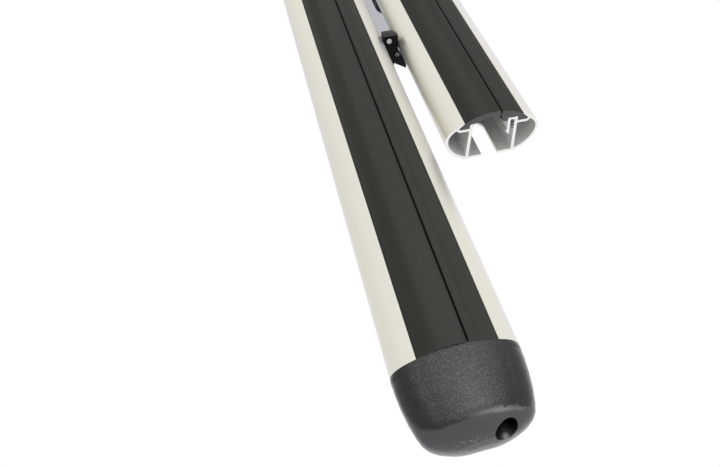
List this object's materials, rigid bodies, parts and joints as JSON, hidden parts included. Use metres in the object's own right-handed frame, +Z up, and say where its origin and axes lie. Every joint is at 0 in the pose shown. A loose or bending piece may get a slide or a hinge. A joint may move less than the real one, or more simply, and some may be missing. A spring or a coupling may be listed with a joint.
{
  "type": "pair of roof cross bars",
  "caption": "Pair of oval aluminium roof cross bars with slit rubber top strips, moulded end caps and short bolted feet with an upright lug.",
  "frame": {"origin": "middle of the pair's bounding box, on the surface that the foot pads stand on", "axes": "+Y along the bars, away from the open end and the near caps; +X to the right; +Z up"},
  "size_m": [0.1706, 1.543, 0.0811],
  "materials": {
    "bare_aluminium": "satin anodised, bright where cut",
    "black_rubber": "matt, dense rubber",
    "black_moulding": "finely grained moulding",
    "plated_steel": "bright plated"
  },
  "bodies": {
    "root": {"left_bar_extrusion": "bare_aluminium", "left_bar_wide_strip": "black_rubber", "left_bar_narrow_strip": "black_rubber", "left_bar_near_cap": "black_moulding", "left_bar_near_cap_screw": "plated_steel", "left_bar_far_cap": "black_moulding", "left_bar_far_cap_screw": "plated_steel", "left_bar_near_foot_body": "black_moulding", "left_bar_near_foot_pad": "black_rubber", "left_bar_near_foot_nut_plate": "plated_steel", "left_bar_near_foot_bolts": "plated_steel", "left_bar_near_foot_lug_screws": "plated_steel", "left_bar_far_foot_body": "black_moulding", "left_bar_far_foot_pad": "black_rubber", "left_bar_far_foot_nut_plate": "plated_steel", "left_bar_far_foot_bolts": "plated_steel", "left_bar_far_foot_lug_screws": "plated_steel", "right_bar_extrusion": "bare_aluminium", "right_bar_wide_strip": "black_rubber", "right_bar_narrow_strip": "black_rubber", "right_bar_far_cap": "black_moulding", "right_bar_far_cap_screw": "plated_steel", "right_bar_near_foot_body": "black_moulding", "right_bar_near_foot_pad": "black_rubber", "right_bar_near_foot_nut_plate": "plated_steel", "right_bar_near_foot_bolts": "plated_steel", "right_bar_near_foot_lug_screws": "plated_steel", "right_bar_far_foot_body": "black_moulding", "right_bar_far_foot_pad": "black_rubber", "right_bar_far_foot_nut_plate": "plated_steel", "right_bar_far_foot_bolts": "plated_steel", "right_bar_far_foot_lug_screws": "plated_steel"}
  },
  "joints": []
}
